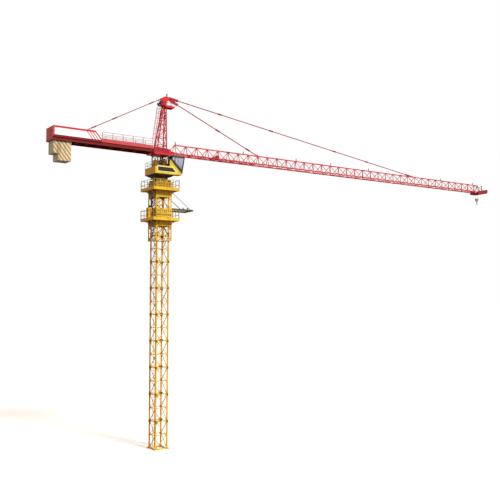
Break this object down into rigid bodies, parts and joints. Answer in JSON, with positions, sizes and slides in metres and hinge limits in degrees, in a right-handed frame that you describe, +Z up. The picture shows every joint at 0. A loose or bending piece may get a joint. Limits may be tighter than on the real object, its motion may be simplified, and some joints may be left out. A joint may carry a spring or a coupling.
{
  "type": "tower crane, half-size scale model",
  "caption": "Hammerhead tower crane on a lattice mast with climbing frame, slewing jib and counter-jib, trolley and hook; a model at 1:2 of full size.",
  "frame": {"origin": "centre of the mast base frame, on the underside of its foot plates, at ground level", "axes": "+X along the jib towards its tip, +Z up the mast; the cab is on the -Y side"},
  "size_m": [35.7425, 1.64, 20.19],
  "materials": {
    "mast_orange": "weathered gloss orange-yellow paint",
    "cage_yellow": "weathered gloss yellow paint",
    "works_red": "weathered gloss red paint",
    "deck_red": "faded red paint on deck plates",
    "winch_red": "dark red paint",
    "tie_red": "dark red paint",
    "handrail_paint": "pale worn paint",
    "ladder_steel": "worn brown paint",
    "feed_beam_paint": "worn yellow paint",
    "stay_steel": "dull galvanised",
    "ram_steel": "ground rod",
    "dark_steel": "greasy dark steel",
    "table_paint": "shadowed dark paint",
    "board_dark": "dark painted board, bare",
    "drive_paint": "machine grey-blue paint",
    "cab_yellow": "gloss yellow paint",
    "cab_glass": "tinted",
    "cab_trim": "matte",
    "panel_white": "white paint with a red border, bare",
    "worn_brown": "worn brown paint",
    "concrete": "cast concrete with painted warning stripes",
    "rope_steel": "oiled wire rope",
    "block_grey": "worn grey paint"
  },
  "bodies": {
    "mast": {"base_frame": "mast_orange", "mast_side_left": "mast_orange", "mast_side_right": "mast_orange", "mast_side_rear": "mast_orange", "mast_side_front": "mast_orange", "mast_ladder": "ladder_steel", "ram_rod": "ram_steel"},
    "climbing_frame": {"cage_left": "cage_yellow", "cage_right": "cage_yellow", "cage_rear": "cage_yellow", "cage_front": "cage_yellow", "walkways": "cage_yellow", "walkway_handrails": "handrail_paint", "feed_beam": "feed_beam_paint", "feed_beam_stays": "stay_steel", "guide_rollers": "dark_steel", "ram_barrel": "dark_steel", "power_pack": "cage_yellow", "slewing_base": "cage_yellow", "slewing_ring": "dark_steel"},
    "trolley": {"trolley_frame": "tie_red", "trolley_wheels": "dark_steel", "hoist_falls": "rope_steel"},
    "hook_block": {"hook_block": "block_grey", "block_sheaves": "dark_steel"},
    "hook": {"hook": "dark_steel"},
    "upper_works": {"slewing_table": "table_paint", "cab_platform": "cage_yellow", "name_board": "board_dark", "platform_sides": "cage_yellow", "slew_drives": "drive_paint", "column_left": "table_paint", "column_right": "table_paint", "column_bracing": "cage_yellow", "turret_frame": "works_red", "cab_shell": "cab_yellow", "cab_glass": "cab_glass", "cab_seat": "cab_trim", "head_side_left": "works_red", "head_side_right": "works_red", "head_bracing": "works_red", "head_platform": "works_red", "apex_cap": "works_red", "jib_top_chord": "works_red", "jib_side_left": "works_red", "jib_side_right": "works_red", "jib_bottom": "works_red", "jib_tip": "tie_red", "trolley_winch": "winch_red", "counter_jib_frame": "works_red", "counter_jib_deck": "deck_red", "counter_jib_rails": "tie_red", "counter_jib_sides": "panel_white", "hoist_winch": "dark_steel", "electrical_cabinets": "worn_brown", "counterweights": "concrete", "tie_outer": "tie_red", "tie_inner": "tie_red", "tie_counter": "tie_red"}
  },
  "joints": [
    {"name": "climb", "type": "slide", "parent": "mast", "child": "climbing_frame", "axis": [0, 0, 1], "range_m": [0, 0.65]},
    {"name": "slew", "type": "hinge", "parent": "climbing_frame", "child": "upper_works", "pos_m": [0, 0, 15.3], "axis": [0, 0, 1], "range_deg": [-540, 540]},
    {"name": "trolley_travel", "type": "slide", "parent": "upper_works", "child": "trolley", "axis": [-1, 0, 0], "range_m": [0, 26.05]},
    {"name": "hoist", "type": "slide", "parent": "trolley", "child": "hook_block", "axis": [0, 0, -1], "range_m": [-0.25, 15.7], "deforming": ["hoist_falls"]},
    {"name": "hook_swivel", "type": "hinge", "parent": "hook_block", "child": "hook", "pos_m": [28.25, 0, 16.05], "axis": [0, 0, 1], "continuous": true}
  ]
}
